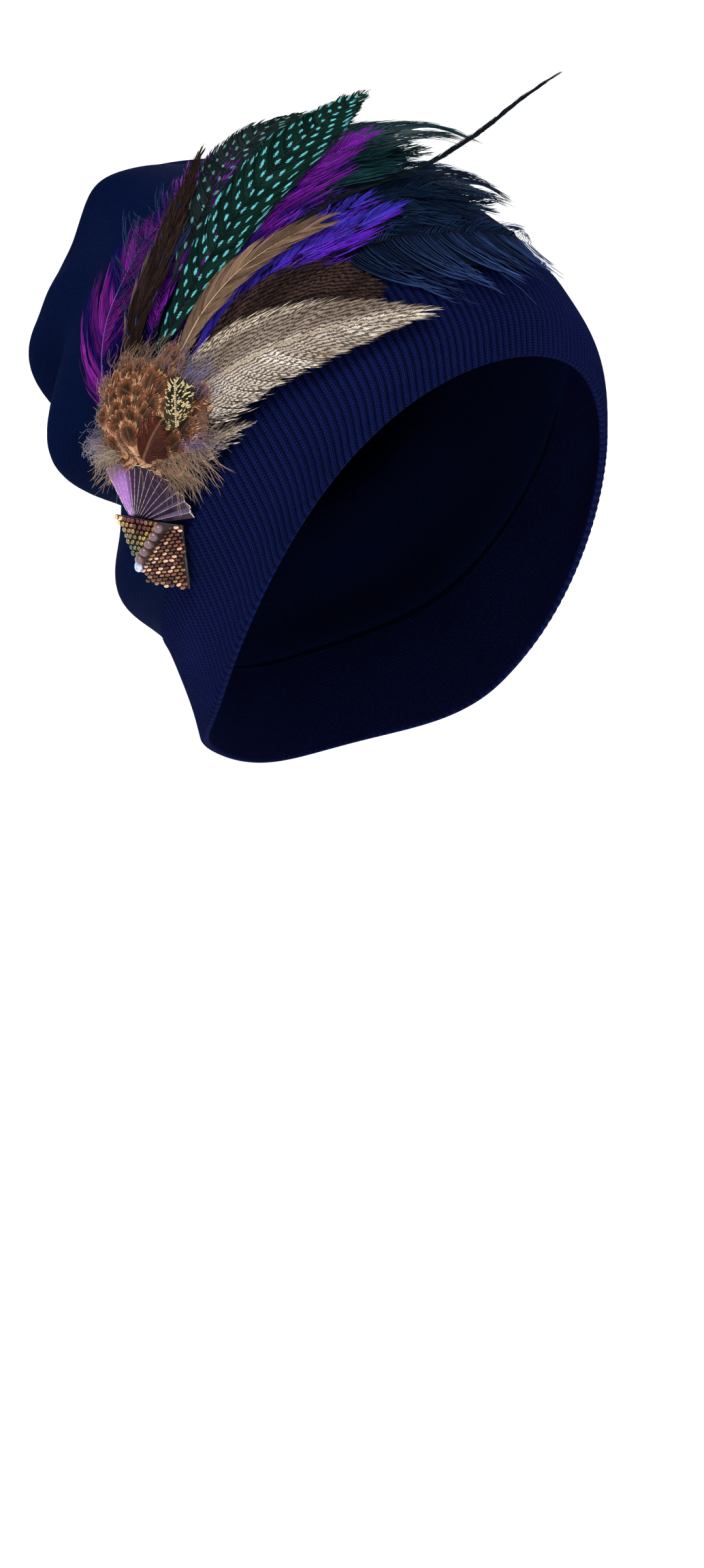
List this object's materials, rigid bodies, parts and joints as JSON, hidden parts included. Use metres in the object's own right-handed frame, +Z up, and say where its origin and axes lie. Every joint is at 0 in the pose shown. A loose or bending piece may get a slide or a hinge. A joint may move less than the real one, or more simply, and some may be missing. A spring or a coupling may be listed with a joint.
{
  "type": "knitted cap with feather spray",
  "caption": "Close ribbed knit cap with a slouching crown, a spray of feathers over one ear and a beaded brooch with a pleated fan.",
  "frame": {"origin": "middle of the wearing head at eye level", "axes": "+Z up along the head, -Y the way the face looks, -X the wearer's right with the feathers"},
  "size_m": [0.1754, 0.2439, 0.2763],
  "materials": {
    "rib_knit": "ribbed navy wool knit",
    "plain_knit": "fine plain navy knit",
    "purple_feather": "magenta to purple dyed hackle",
    "navy_plume": "navy and dark teal herl",
    "violet_feather": "blue violet feather with black spots",
    "spotted_feather": "green black feather with turquoise spots",
    "black_quill": "bare black quill, satin",
    "brown_feather": "dark brown feather with fine bars",
    "tan_feather": "tan feather, matt",
    "cream_feather": "cream feather with fine black bars",
    "copper_feather": "copper brown scaly feathers with fluff",
    "pleated_film": "sheer iridescent purple with silver ribs",
    "bead_work": "copper, gold and olive lustre beads",
    "pearl": "mauve grey pearl lustre",
    "cut_glass": "clear cut glass with rainbow foil"
  },
  "bodies": {
    "root": {"rib_band": "rib_knit", "crown": "plain_knit", "left_hackle": "purple_feather", "upper_hackle": "purple_feather", "right_hackle": "purple_feather", "navy_plume": "navy_plume", "navy_herl": "navy_plume", "teal_plume": "navy_plume", "blue_feather": "violet_feather", "rear_guinea": "spotted_feather", "main_guinea": "spotted_feather", "long_quill": "black_quill", "brown_flank": "brown_feather", "dark_quill": "brown_feather", "tan_quill": "tan_feather", "mallard_flank": "cream_feather", "lower_lock_1": "cream_feather", "lower_lock_2": "cream_feather", "pheasant_pad": "copper_feather", "pleated_fan": "pleated_film", "shield": "bead_work", "pearl_1": "pearl", "pearl_2": "pearl", "pearl_3": "pearl", "pearl_4": "pearl", "pearl_5": "pearl", "rhinestone": "cut_glass"}
  },
  "joints": []
}
